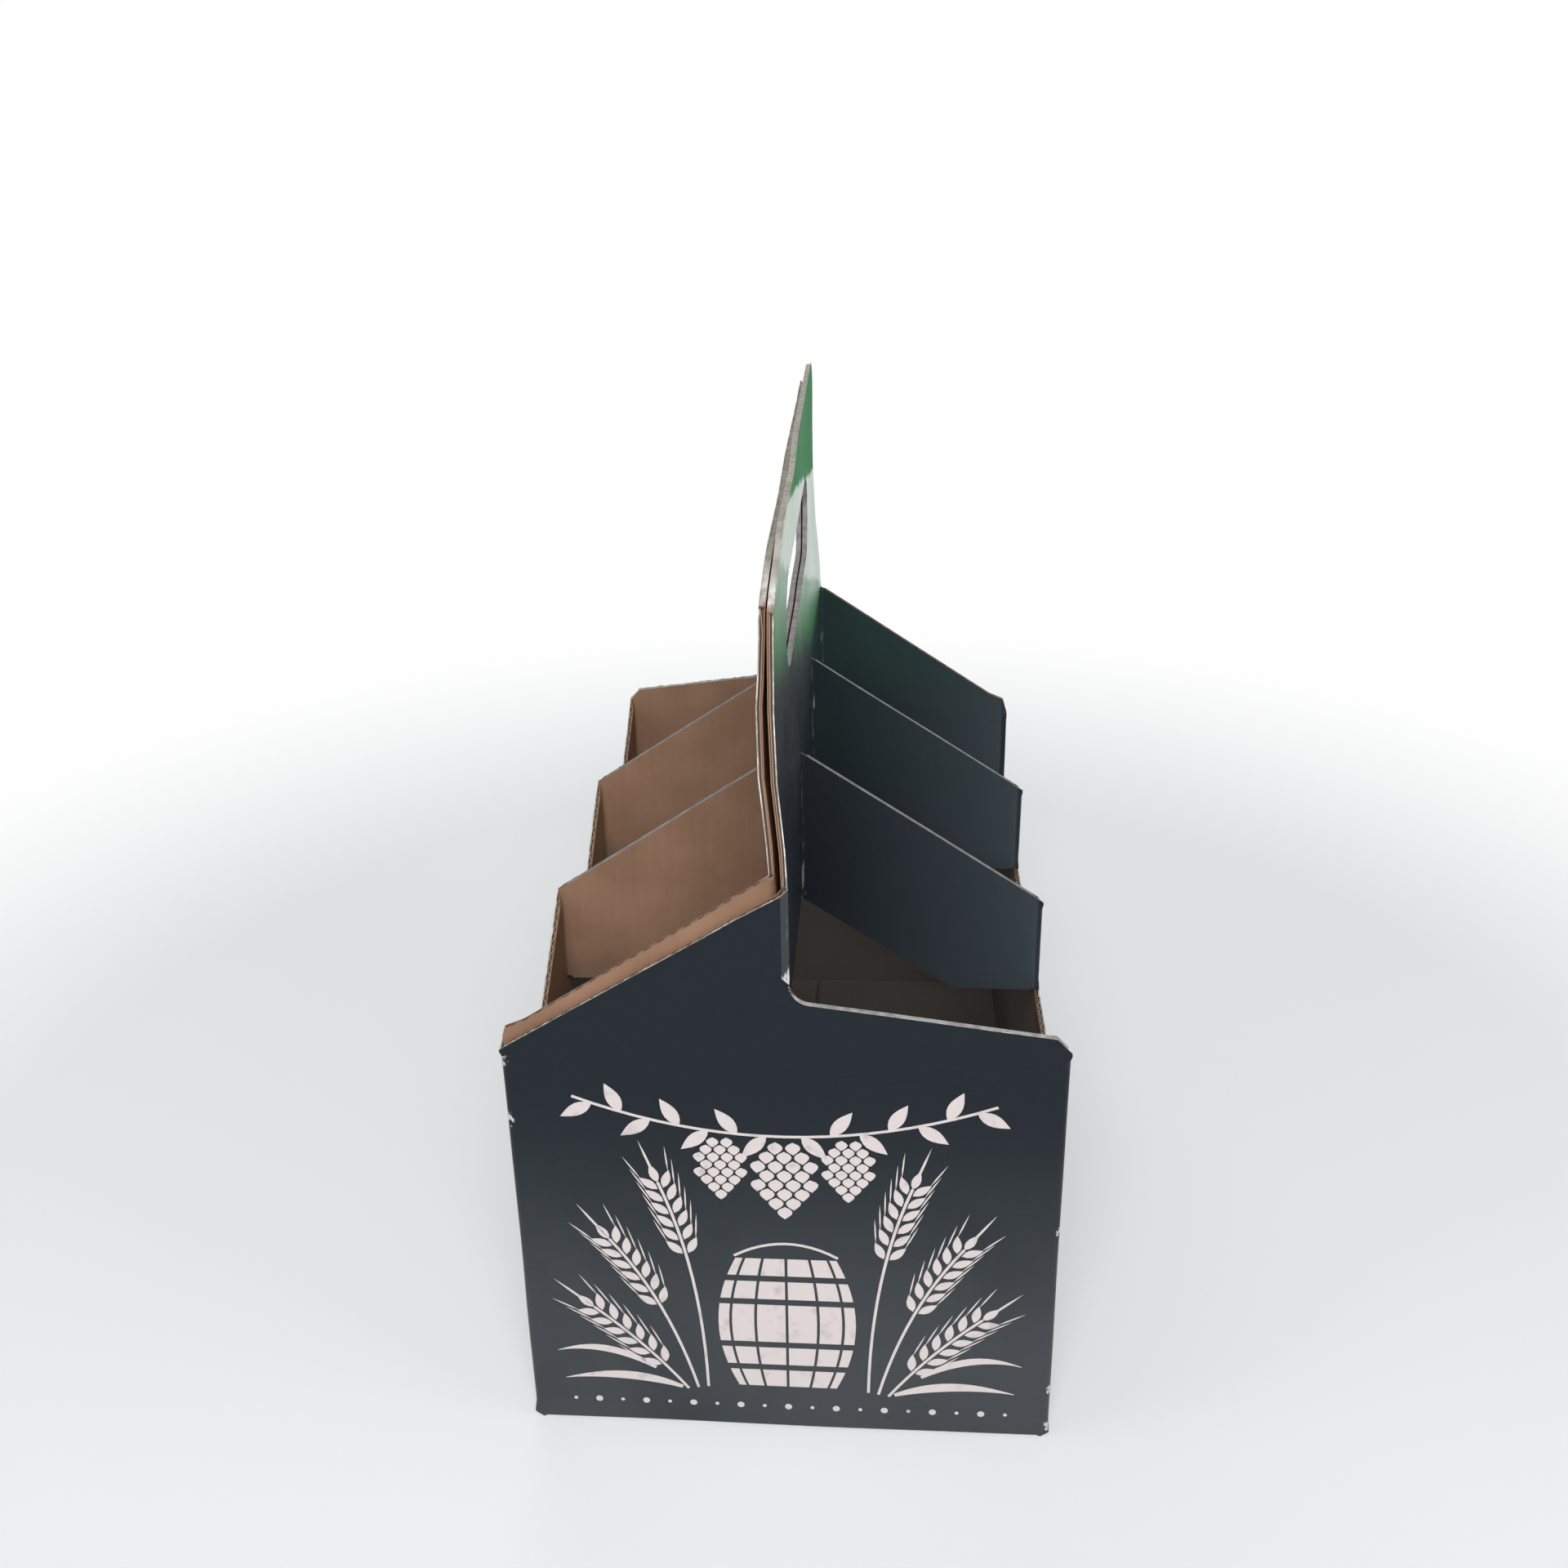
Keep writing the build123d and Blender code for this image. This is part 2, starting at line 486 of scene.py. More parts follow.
print("carrier: folding")
cutGrid()
faceForward(sheet)
folds = halfFolds()
folds += [(turned(start), turned(end), radius, facets) for start, end, radius, facets in halfFolds()]
for radius, facets in sorted({fold[2:] for fold in folds}):
    bendFolds(radius, facets)
openFolds()
markFolds()
print("faces in the folded sheet:", len(sheet.data.polygons))


# bends: the board bows, and use has pushed the handle about

bends = {
    "wave": 0.0012,            # how far the board bows
    "waveSizes": {"X": 0.075, "Y": 0.090},
    "lean": -0.0020,           # handle steps to the left above the creases
    "leanUp": (0.157, 0.192),
    "part": -0.0011,           # left ply stands off the right one along its front edge
    "partWidth": 0.012,
    "partUp": (0.135, 0.165),
    "partDown": (0.214, 0.188),
    "partBack": 0.040,
    "twist": 0.0018,           # front top corner of the handle is bent back to the right
    "twistUp": (0.216, 0.236),
    "twistBack": (-0.085, 0.060),
}


def pushAcross(distance, weightOf):
    # moves part of the sheet sideways by a painted weight
    group = sheet.vertex_groups.new(name="push")
    for vertex in sheet.data.vertices:
        weight = weightOf(vertex.co)
        if weight > 0:
            group.add([vertex.index], weight, "REPLACE")
    applyModifier(sheet, "DISPLACE", direction="X", strength=distance, mid_level=0.0, vertex_group="push")
    sheet.vertex_groups.remove(sheet.vertex_groups["push"])


def partWeight(point):
    # the left ply's front edge, below the head of the handle
    if point.x > 0 or point.x < -bends["partWidth"]:
        return 0.0
    upright = eased(point.z, *bends["partUp"]) * eased(point.z, *bends["partDown"])
    return upright * eased(-point.y, bends["partBack"], -front)


def leanWeight(point):
    return eased(point.z, *bends["leanUp"])


def twistWeight(point):
    return eased(point.z, *bends["twistUp"]) * eased(-point.y, *bends["twistBack"])


print("carrier: bowing the board")
for axis, size in bends["waveSizes"].items():
    clouds = bpy.data.textures.new("board_wave_" + axis, "CLOUDS")
    clouds.noise_scale = size
    clouds.noise_depth = 1
    wave = {"direction": axis, "texture": clouds, "texture_coords": "LOCAL"}
    applyModifier(sheet, "DISPLACE", strength=bends["wave"], mid_level=0.5, **wave)
pushAcross(bends["part"], partWeight)
pushAcross(bends["lean"], leanWeight)
pushAcross(bends["twist"], twistWeight)


# cut edges: two thin liners with a channel between them, pressed shut in places

cuts = {
    "linerEdge": 0.00030,
    "channel": 0.0008,
    "headFrom": 0.2185,        # above this the handle's cut edges are pressed shut
    "lying": 0.7,              # upward look past which a face lies flat
    "facingUp": 0.5,           # the same for a top edge
    "slack": 0.001,
    "cornerSlack": 0.003,
    "lowSlack": 0.0009,
    "handleHalf": 0.010,
    "flapTop": 0.16,
    "flapSlack": 0.0012,
    "flapBoard": 0.75,         # share of the board that belongs to the glued flap
    "farInner": 1.5,           # boards past which an inner wall has strayed
    "smoothBelow": 35,         # degrees
}
printSide, kraftSide, channelSide, whiteSide = range(4)
sideFinishes = ("black_print", "kraft_liner", "cut_channel", "white_liner_edge")


def cutEdges(mesh):
    # every free edge of the sheet: its ends, face normal, way into the board and how bent it is
    users = edgeUsers(mesh)
    bend = mesh.attributes["foldWear"].data
    found = []
    for face in mesh.polygons:
        ring = list(face.vertices)
        for first, second in zip(ring, ring[1:] + ring[:1]):
            if users[(min(first, second), max(first, second))] == 1:
                start, end = mesh.vertices[first].co.copy(), mesh.vertices[second].co.copy()
                inward = face.normal.cross(end - start).normalized()
                bent = max(bend[first].value, bend[second].value)
                found.append((start, end, face.normal.copy(), inward, bent))
    return found


def pinched(point, up):
    # strap tops, low edges, hand slot and head of the handle, where the blade has pressed the liners together
    across, along, slack = abs(point.x), abs(point.y), cuts["slack"]
    if up > cuts["facingUp"]:
        onStrap = cuts["cornerSlack"] < across < halfWidth - cuts["cornerSlack"]
        if onStrap and along < creases[-1] - slack:
            return True
        lowSide = -math.copysign(1.0, point.y) * point.x > plyFace + slack
        if lowSide and along > creases[-1] + cuts["lowSlack"]:
            return True
    inSlot = along < halfSlot + slack and abs(point.z - carrier["slotCentre"]) < slotRound + slack
    return point.z > cuts["headFrom"] or (inSlot and across < cuts["handleHalf"])


def onFlap(point):
    # the last strap, glued inside the end panel
    behind = abs(point.y) - creases[-1]
    beside = -cuts["flapSlack"] < behind < carrier["board"] * cuts["flapBoard"]
    return beside and carrier["dip"] < point.z < cuts["flapTop"]


def thickenBoard():
    for name in sideFinishes:
        sheet.data.materials.append(bpy.data.materials.new(name))
    outward = [vertex.normal.copy() for vertex in sheet.data.vertices]
    applyModifier(
        sheet,
        "SOLIDIFY",
        thickness=carrier["board"],
        offset=-1.0,
        use_even_offset=True,
        material_offset=kraftSide,
        material_offset_rim=channelSide,
    )
    # where three bends meet, the inner wall goes straight in by one board
    for index, normal in enumerate(outward):
        outer, inner = sheet.data.vertices[index], sheet.data.vertices[index + len(outward)]
        if (inner.co - outer.co).length > carrier["board"] * cuts["farInner"]:
            inner.co = outer.co - normal * carrier["board"]


def sinkChannels():
    makeActive(sheet)
    editMode("FACE")
    objectMode()
    for face in sheet.data.polygons:
        if face.material_index == channelSide and pinched(face.center, face.normal.z):
            face.material_index = whiteSide
        face.select = face.material_index == channelSide
    bpy.ops.object.mode_set(mode="EDIT")
    bpy.ops.mesh.inset(thickness=cuts["linerEdge"], depth=0.0, use_even_offset=True, use_boundary=True)
    bpy.ops.mesh.extrude_region_shrink_fatten(TRANSFORM_OT_shrink_fatten={"value": -cuts["channel"]})
    objectMode()


def paintLiners():
    # the printed liner's cut is white, and the kraft liner's is kraft, as the glued flap's is on both sides
    sides = {}
    for face in sheet.data.polygons:
        for key in face.edge_keys:
            sides.setdefault(key, set()).add(face.material_index)
    for face in sheet.data.polygons:
        if face.material_index == channelSide:
            beside = set().union(*[sides[key] for key in face.edge_keys])
            if printSide in beside and not onFlap(face.center):
                face.material_index = whiteSide
            elif beside & {printSide, kraftSide}:
                face.material_index = kraftSide


print("carrier: giving the board its thickness")
freeEdges = cutEdges(sheet.data)
thickenBoard()
sinkChannels()
paintLiners()
bpy.ops.object.shade_smooth_by_angle(angle=math.radians(cuts["smoothBelow"]))
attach(sheet, "root")
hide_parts("bottle_carrier")


# flutes: the wavy medium that shows between the liners along every cut edge

flutes = {
    "pitch": 0.0032,
    "depth": 0.0011,
    "sunk": 0.00012,
    "paper": 0.00022,
    "swing": 0.00042,
    "step": 0.00045,
    "bent": 0.3,               # edges more bent than this have no flutes
    "cornerReach": 1.6,        # boards by which the flutes stop short of a corner
}


def besideCorner(place):
    # the cut ends of the flutes stop where a wall turns into another
    reach = carrier["board"] * flutes["cornerReach"]
    return any(
        math.hypot(place.x - start[0], place.y - start[1]) < reach
        for start, end, radius, facets in folds
        if abs(start[0]) > halfWidth - reach and start[:2] == end[:2]
    )


def addFlutes():
    points, faces = [], []
    for start, end, normal, inward, bent in freeEdges:
        lying = abs(normal.z) > cuts["lying"]
        if lying or bent > flutes["bent"] or pinched(start.lerp(end, 0.5), -inward.z):
            continue
        along = Vector((-normal.y, normal.x, 0.0)).normalized()
        count = max(1, round((end - start).length / flutes["step"]))
        running = False
        for step in range(count + 1):
            place = start.lerp(end, step / count)
            if besideCorner(place):
                running = False
                continue
            phase = 2 * math.pi * place.dot(along) / flutes["pitch"]
            middle = place - normal * (carrier["board"] / 2 + flutes["swing"] * math.sin(phase))
            points.append(middle + inward * flutes["sunk"])
            points.append(middle + inward * flutes["depth"])
            if running:
                closeQuad(points, faces)
            running = True
    return addRibbon("fluted_medium", points, faces, flutes["paper"])


medium = addFlutes()
print("flutes:", len(medium.data.polygons), "faces")


# fringe: torn white paper of the printed liner along the cut edges

fringe = {
    "step": 0.0007,
    "reach": 0.00034,
    "handleReach": 0.00075,
    "handleUp": (0.185, 0.218),
    "strapReach": 0.00024,
    "strapLeast": 0.4,         # share of the reach that every strap edge has
    "paper": 0.00016,
    "sunk": 0.6,               # share of the paper that lies below the print
    "bent": 0.6,               # edges more bent than this have no fringe
    "lookingAlong": 0.9,       # how squarely a strap or an end panel faces front or rear
    "lookingDown": 0.3,
    "seed": 7,
}


def fringeReach(start, normal, inward):
    # how far the paper stands out, and the least share of that
    onHandle = eased(start.z, *fringe["handleUp"])
    acrossCells = abs(normal.y) > fringe["lookingAlong"]
    if onFlap(start) or (acrossCells and inward.z > fringe["lookingDown"]):
        return 0.0, 0.0
    onStrap = acrossCells and abs(start.y) < creases[-1] + cuts["slack"]
    if onStrap and onHandle == 0 and inward.z < 0:
        return fringe["strapReach"], fringe["strapLeast"]
    return fringe["reach"] + (fringe["handleReach"] - fringe["reach"]) * onHandle, 0.0


def addFringe():
    dice = random.Random(fringe["seed"])
    points, faces = [], []
    for start, end, normal, inward, bent in freeEdges:
        if abs(normal.z) > cuts["lying"] or bent > fringe["bent"]:
            continue
        count = max(1, round((end - start).length / fringe["step"]))
        reach, least = fringeReach(start, normal, inward)
        for step in range(count + 1):
            place = start.lerp(end, step / count) - normal * fringe["paper"] * fringe["sunk"]
            points.append(place + inward * fringe["paper"])
            points.append(place - inward * reach * max(least, dice.random() ** 2))
            if step:
                closeQuad(points, faces)
    return addRibbon("liner_fringe", points, faces, fringe["paper"])


tornEdge = addFringe()
print("fringe:", len(tornEdge.data.polygons), "faces")
for piece in (medium, tornEdge):
    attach(piece, "root")


# print: a keg between ears of barley under a garland of hops, on both end panels

ink = {
    "film": 0.00004,
    "proud": 0.00006,
    "cutEvery": 0.0071,
    "line": 0.0007,
    "leafBelly": 0.85,              # below 1 a leaf is widest nearer to its foot
    "bladeTip": 0.06,
    "bladeFoot": 0.12,
    "feel": 0.02,                   # share of a stroke over which its heading is taken
    "nearEnd": 0.97,
}


def inkShape(outline):
    return drawPanel("ink_shape", [(x, 0.0, z) for x, z in outline])


def stamp(master, x, z, degrees=0.0, size=1.0):
    # a copy of a small motif, turned clockwise and set in place
    copy = master.copy()
    copy.data = master.data.copy()
    turn = Matrix.Rotation(math.radians(degrees), 4, "Y") @ Matrix.Scale(size, 4)
    copy.data.transform(Matrix.Translation((x, 0.0, z)) @ turn)
    scene.collection.objects.link(copy)
    return copy


def leafOutline(width, length, steps=5):
    right = []
    for step in range(1, steps):
        share = step / steps
        right.append((width / 2 * math.sin(math.pi * share ** ink["leafBelly"]), length * share))
    left = [(-x, z) for x, z in reversed(right)]
    return [(0.0, 0.0)] + right + [(0.0, length)] + left


def bowed(start, bend, end, share):
    keep = 1.0 - share
    return tuple(
        keep * keep * a + 2 * keep * share * b + share * share * c for a, b, c in zip(start, bend, end)
    )


def heading(start, bend, end, share):
    # degrees clockwise from straight up
    here, there = [bowed(start, bend, end, share + feel) for feel in (-ink["feel"], ink["feel"])]
    return math.degrees(math.atan2(there[0] - here[0], there[1] - here[1]))


def strokeLength(start, bend, end, steps=20):
    points = [bowed(start, bend, end, step / steps) for step in range(steps + 1)]
    return sum(math.dist(here, there) for here, there in zip(points, points[1:]))


def strokeOutline(start, bend, end, width, steps=12, pointed=False):
    left, right = [], []
    for step in range(steps + 1):
        share = step / steps
        x, z = bowed(start, bend, end, share)
        angle = math.radians(heading(start, bend, end, share))
        half = width / 2
        if pointed:
            swell = ink["bladeFoot"] + (1 - ink["bladeFoot"]) * share
            half *= max(ink["bladeTip"], math.sin(math.pi * swell))
        left.append((x - half * math.cos(angle), z + half * math.sin(angle)))
        right.append((x + half * math.cos(angle), z - half * math.sin(angle)))
    return right + left[::-1]


def mirrored(outline):
    return [(-x, z) for x, z in reversed(outline)]


keg = {
    "foot": 0.0135,
    "height": 0.0405,
    "end": 0.0125,
    "belly": 0.0172,
    "staves": 6,
    "staveTurn": 78,                # degrees that the staves are seen round on each side
    "staveGap": 0.0007,
    "bands": ((0.0, 0.13), (0.175, 0.31), (0.355, 0.645), (0.69, 0.825), (0.87, 1.0)),
    "bandSteps": 4,
    "lidRise": 0.008,
}


def kegHalf(share):
    return keg["end"] + (keg["belly"] - keg["end"]) * (1 - (2 * share - 1) ** 2)


def kegShapes():
    count, turn, gap = keg["staves"], keg["staveTurn"], keg["staveGap"]
    joints = [math.sin(math.radians(-turn + 2 * turn * step / count)) for step in range(count + 1)]
    joints = [joint / math.sin(math.radians(turn)) for joint in joints]
    shapes = []
    for leftJoint, rightJoint in zip(joints, joints[1:]):
        for foot, head in keg["bands"]:
            right, left = [], []
            for step in range(keg["bandSteps"] + 1):
                share = foot + (head - foot) * step / keg["bandSteps"]
                z = keg["foot"] + keg["height"] * share
                right.append((rightJoint * kegHalf(share) - gap / 2, z))
                left.append((leftJoint * kegHalf(share) + gap / 2, z))
            shapes.append(inkShape(right + left[::-1]))
    top = keg["foot"] + keg["height"] + gap
    lid = ((-keg["end"], top), (0.0, top + keg["lidRise"]), (keg["end"], top))
    shapes.append(inkShape(strokeOutline(*lid, ink["line"])))
    return shapes


barley = {
    "kernel": (0.0022, 0.0054),
    "kernelLean": 35.0,
    "kernelStep": 0.0044,
    "kernelRows": 6,
    "awn": (0.0004, 0.0075),
    "awnFrom": 0.9,
    "awnLean": 14,
    "awnSteps": 3,
    "tipAwn": 1.7,
    "ears": (                       # base, bend and tip of each stalk on one side
        ((0.0200, 0.0125), (0.0205, 0.0500), (0.0300, 0.0760)),
        ((0.0225, 0.0120), (0.0290, 0.0400), (0.0425, 0.0585)),
        ((0.0250, 0.0115), (0.0350, 0.0260), (0.0475, 0.0370)),
    ),
    "blades": (
        ((0.0265, 0.0120), (0.0400, 0.0175), (0.0560, 0.0135), 0.0026),
        ((0.0330, 0.0180), (0.0450, 0.0270), (0.0575, 0.0225), 0.0021),
    ),
}


def kernelPair(kernel, awn, x, z, way):
    # two kernels across the stalk, each with its awn
    shapes = []
    for lean in (-1, 1):
        out = math.radians(way + 90 * lean)
        rootX, rootZ = x + ink["line"] * math.sin(out), z + ink["line"] * math.cos(out)
        angle = way + barley["kernelLean"] * lean
        shapes.append(stamp(kernel, rootX, rootZ, angle))
        tipTurn = math.radians(angle)
        reach = barley["kernel"][1] * barley["awnFrom"]
        awnX, awnZ = rootX + reach * math.sin(tipTurn), rootZ + reach * math.cos(tipTurn)
        shapes.append(stamp(awn, awnX, awnZ, way + barley["awnLean"] * lean))
    return shapes


def earShapes(kernel, awn):
    shapes = []
    for ear in barley["ears"]:
        for side in (-1, 1):
            path = [(side * x, z) for x, z in ear]
            shapes.append(inkShape(strokeOutline(*path, ink["line"])))
            length = strokeLength(*path)
            for row in range(barley["kernelRows"]):
                share = 1.0 - barley["kernelStep"] * (row + 0.5) / length
                shapes += kernelPair(kernel, awn, *bowed(*path, share), heading(*path, share))
            way = heading(*path, ink["nearEnd"])
            shapes.append(stamp(kernel, *path[2], way))
            shapes.append(stamp(awn, *path[2], way, barley["tipAwn"]))
    for *path, width in barley["blades"]:
        outline = strokeOutline(*path, width, pointed=True)
        shapes += [inkShape(outline), inkShape(mirrored(outline))]
    return shapes


garland = {
    "path": ((-0.0490, 0.1000), (0.0, 0.0800), (0.0490, 0.1000)),
    "pathSteps": 20,
    "sprig": (0.0034, 0.0086),
    "sprigSteps": 7,
    "sprigs": 7,                    # on each half of the garland
    "sprigFrom": 0.6,
    "sprigShare": 0.48,
    "sprigTurns": (138, 42),
    "scale": (0.0036, 0.0036),
    "scaleGap": (1.1, 0.74),        # in widths and lengths of a scale
    "scaleFan": 1500,               # degrees for each metre off the middle
    "coneRows": (2, 3, 4, 3, 4, 3, 2, 1),
    "coneDrop": 0.0016,
    "cones": ((-0.0150, 0.80), (0.0, 1.0), (0.0150, 0.80)),
}


def sprigShapes(sprig):
    shapes = []
    for step in range(garland["sprigs"]):
        share = 0.5 + garland["sprigShare"] * (step + garland["sprigFrom"]) / garland["sprigs"]
        turn = garland["sprigTurns"][step % 2]
        x, z = bowed(*garland["path"], share)
        way = heading(*garland["path"], min(share, ink["nearEnd"]))
        shapes.append(stamp(sprig, x, z, way - 90 + turn))
        shapes.append(stamp(sprig, -x, z, 90 - way - turn))
    return shapes


def coneShapes(scale):
    start, end = garland["path"][0][0], garland["path"][2][0]
    stepX, stepZ = [size * gap for size, gap in zip(garland["scale"], garland["scaleGap"])]
    shapes = []
    for middle, size in garland["cones"]:
        top = bowed(*garland["path"], (middle - start) / (end - start))[1] - garland["coneDrop"]
        for row, count in enumerate(garland["coneRows"]):
            for place in range(count):
                across = (place - (count - 1) / 2) * stepX * size
                turn = 180 - garland["scaleFan"] * across
                shapes.append(stamp(scale, middle + across, top - row * stepZ * size, turn, size))
    return shapes


dots = {"radius": 0.0009, "small": 0.55, "line": 0.0068, "gap": 0.0060, "count": 19, "corners": 14}


def addDot():
    deselectAll()
    bpy.ops.mesh.primitive_circle_add(vertices=dots["corners"], radius=dots["radius"], fill_type="NGON")
    bpy.ops.transform.rotate(value=math.radians(90), orient_axis="X", center_override=(0, 0, 0))
    bpy.ops.object.transform_apply(location=True, rotation=True, scale=True)
    return bpy.context.object


def dotShapes(dot):
    shapes = []
    for step in range(dots["count"]):
        x = (step - (dots["count"] - 1) / 2) * dots["gap"]
        shapes.append(stamp(dot, x, dots["line"], 0.0, 1.0 if step % 2 else dots["small"]))
    return shapes


def addPrint():
    kernel = inkShape(leafOutline(*barley["kernel"]))
    awn = inkShape(leafOutline(*barley["awn"], steps=barley["awnSteps"]))
    sprig = inkShape(leafOutline(*garland["sprig"], steps=garland["sprigSteps"]))
    scale = inkShape(leafOutline(*garland["scale"]))
    dot = addDot()
    shapes = kegShapes() + earShapes(kernel, awn)
    shapes.append(inkShape(strokeOutline(*garland["path"], ink["line"], steps=garland["pathSteps"])))
    shapes += sprigShapes(sprig) + coneShapes(scale) + dotShapes(dot)
    for master in (kernel, awn, sprig, scale, dot):
        bpy.data.objects.remove(master)
    joined = joinPieces(shapes, "front_print")
    reach = int(halfWidth / ink["cutEvery"])
    cutAcross(0, [ink["cutEvery"] * step for step in range(-reach, reach + 1)])
    cutAcross(2, [ink["cutEvery"] * step for step in range(1, 2 * reach)])
    faceForward(joined)
    return joined


def layPrint(piece):
    # laid on the panel in front of it, then given the ink's own film
    wrap = {"wrap_method": "PROJECT", "use_project_y": True, "use_negative_direction": True}
    applyModifier(piece, "SHRINKWRAP", target=sheet, offset=ink["proud"], wrap_mode="ABOVE_SURFACE", **wrap)
    applyModifier(piece, "SOLIDIFY", thickness=ink["film"], offset=-1.0)
    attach(piece, "root")


print("print: drawing")
frontPrint = addPrint()
backPrint = frontPrint.copy()
backPrint.data = frontPrint.data.copy()
backPrint.name = "back_print"
scene.collection.objects.link(backPrint)
beforePanel = Matrix.Translation((0.0, front - bends["wave"], 0.0))
frontPrint.data.transform(beforePanel)
backPrint.data.transform(Matrix.Rotation(math.pi, 4, "Z") @ beforePanel)
layPrint(frontPrint)
layPrint(backPrint)
print("print:", len(frontPrint.data.polygons), "faces")


# camera where the photograph was taken from

view = {
    "place": (0.02068, -0.38358, 0.32259),
    "pitch": 21.71,
    "yaw": -3.77,
    "roll": -0.94,
    "lens": 34.87,
    "sensor": 36.0,
    "shiftUp": -0.0796,
    "clipStart": 0.01,
}


def addCamera():
    pitch, yaw, roll = [math.radians(view[key]) for key in ("pitch", "yaw", "roll")]
    ahead = Vector((math.sin(yaw) * math.cos(pitch), math.cos(yaw) * math.cos(pitch), -math.sin(pitch)))
    right = Vector((math.cos(yaw), -math.sin(yaw), 0.0))
    up = right.cross(ahead)
    tiltedRight = math.cos(roll) * right + math.sin(roll) * up
    tiltedUp = math.cos(roll) * up - math.sin(roll) * right
    bpy.ops.object.camera_add()
    camera = bpy.context.object
    turn = Matrix((tiltedRight, tiltedUp, -ahead)).transposed()
    camera.matrix_world = Matrix.Translation(view["place"]) @ turn.to_4x4()
    camera.data.sensor_width = view["sensor"]
    camera.data.lens = view["lens"]
    camera.data.shift_y = view["shiftUp"]
    camera.data.clip_start = view["clipStart"]
    scene.camera = camera


deselectAll()
addCamera()


# finishes

def startFinish(name):
    material = bpy.data.materials.get(name) or bpy.data.materials.new(name)
    material.use_nodes = True
    return material.node_tree


def addNode(tree, kind, inputs=None, **settings):
    node = tree.nodes.new("ShaderNode" + kind)
    for key, value in settings.items():
        setattr(node, key, value)
    for key, value in (inputs or {}).items():
        if isinstance(value, bpy.types.NodeSocket):
            tree.links.new(value, node.inputs[key])
        else:
            node.inputs[key].default_value = value
    return node


def addMath(tree, operation, *values):
    return addNode(tree, "Math", dict(enumerate(values)), operation=operation).outputs[0]


def addProduct(tree, first, *others):
    for other in others:
        first = addMath(tree, "MULTIPLY", first, other)
    return first


def addRange(tree, value, lowEnd, highEnd, toLow=0.0, toHigh=1.0):
    ends = {"Value": value, "From Min": lowEnd, "From Max": highEnd, "To Min": toLow, "To Max": toHigh}
    return addNode(tree, "MapRange", ends, interpolation_type="SMOOTHSTEP").outputs["Result"]


def addMix(tree, share, first, second):
    # the colour sockets of a Mix node are its seventh and eighth
    return addNode(tree, "Mix", {0: share, 6: first, 7: second}, data_type="RGBA").outputs[2]


def addNoise(tree, place, scale, detail):
    values = {"Vector": place, "Scale": scale, "Detail": detail}
    return addNode(tree, "TexNoise", values).outputs["Fac"]


def addStretched(tree, place, upward):
    return addNode(tree, "Mapping", {"Vector": place, "Scale": (1.0, 1.0, upward)}).outputs[0]


def addPlace(tree):
    place = addNode(tree, "TexCoord").outputs["Object"]
    return place, addNode(tree, "SeparateXYZ", {0: place}).outputs


def washboard(tree, split):
    # faint ridges of the flutes, running up every panel
    run = addMath(tree, "ADD", split["X"], split["Y"])
    return addMath(tree, "SINE", addProduct(tree, run, 2 * math.pi / flutes["pitch"]))


def addBump(tree, shader, height, strength, distance):
    bump = addNode(tree, "Bump", {"Height": height, "Strength": strength, "Distance": distance})
    tree.links.new(bump.outputs["Normal"], shader.inputs["Normal"])


printFinish = {
    "black": (0.0172, 0.0222, 0.0275, 1),
    "strapBlack": (0.0470, 0.0590, 0.0690, 1),
    "strapRun": (0.002, 0.075),        # painted light: straps lighter from the handle outwards, leaving painted shade beside the handle
    "greenBlack": (0.0290, 0.0530, 0.0500, 1),
    "greenShare": 0.8,
    "greenRun": (-0.02, 0.10),         # and greener from front to rear, and upwards
    "greenUp": (0.10, 0.14),
    "green": (0.046, 0.245, 0.086, 1),
    "fade": (0.32, 0.172, 0.187),      # slant along the handle, and where black turns to green
    "fadeWobble": 0.008,
    # lighter grey towards the foot: dust, and a painted reflection of the pale floor
    "dustAndFloorSheen": (0.060, 0.067, 0.072, 1),
    "dustAndSheenUp": (0.105, 0.018),
    "dustAndSheenPatches": (0.2, 0.6, 0.6, 1.0),
    "clouds": (22.0, 4.0),             # scale and detail of each noise
    "rags": (160.0, 3.0),
    "patches": (800.0, 6.0),
    "streaks": (1100.0, 4.0),
    "grain": (700.0, 3.0),
    "streakHeight": 0.12,
    "scuff": (0.60, 0.58, 0.55, 1),
    "creaseGrey": (0.056, 0.062, 0.066, 1),
    "creaseRub": 0.8,
    "streaked": (0.52, 0.64, 0.0, 0.4),
    "tornUp": (0.0085, 0.0070),        # white end of the crease, above where the crease starts
    "tornWobble": 0.014,
    "chipped": (0.46, 0.54),
    "chipCore": 0.2,
    "chips": (                         # side, height and size of the rubbed places on the front corners
        (1, 0.0030, 0.0042),
        (1, 0.0150, 0.0035),
        (1, 0.0640, 0.0040),
        (-1, 0.0930, 0.0060),
        (-1, 0.1090, 0.0050),
    ),
    "varnish": 0.54,
    "varnishFoot": (0.36, 0.1955, 0.003),    # slant, height and softness of a glossy patch's ends
    "varnishHead": (0.219, 0.2203, 0.002),
    "varnishWobble": 0.006,
    "roughness": (0.3, 0.7, 0.22, 0.32),
    "bareRoughness": 0.34,             # added above the varnish, where the green is dull
    "coatRoughness": 0.12,
    "specular": 0.05,
    "ridges": 0.08,
    "bump": (0.2, 0.0002),
    "handleFrom": (0.1568, 0.1608),    # where the ply, the straps and the end panels begin or end
    "plyEnd": (0.007, 0.005),
    "strapEnd": (0.0640, 0.0630),
    "panelEnd": (0.0978, 0.0970),
    "middle": 0.001,                   # the handle leans, so its plies part left of the middle
}


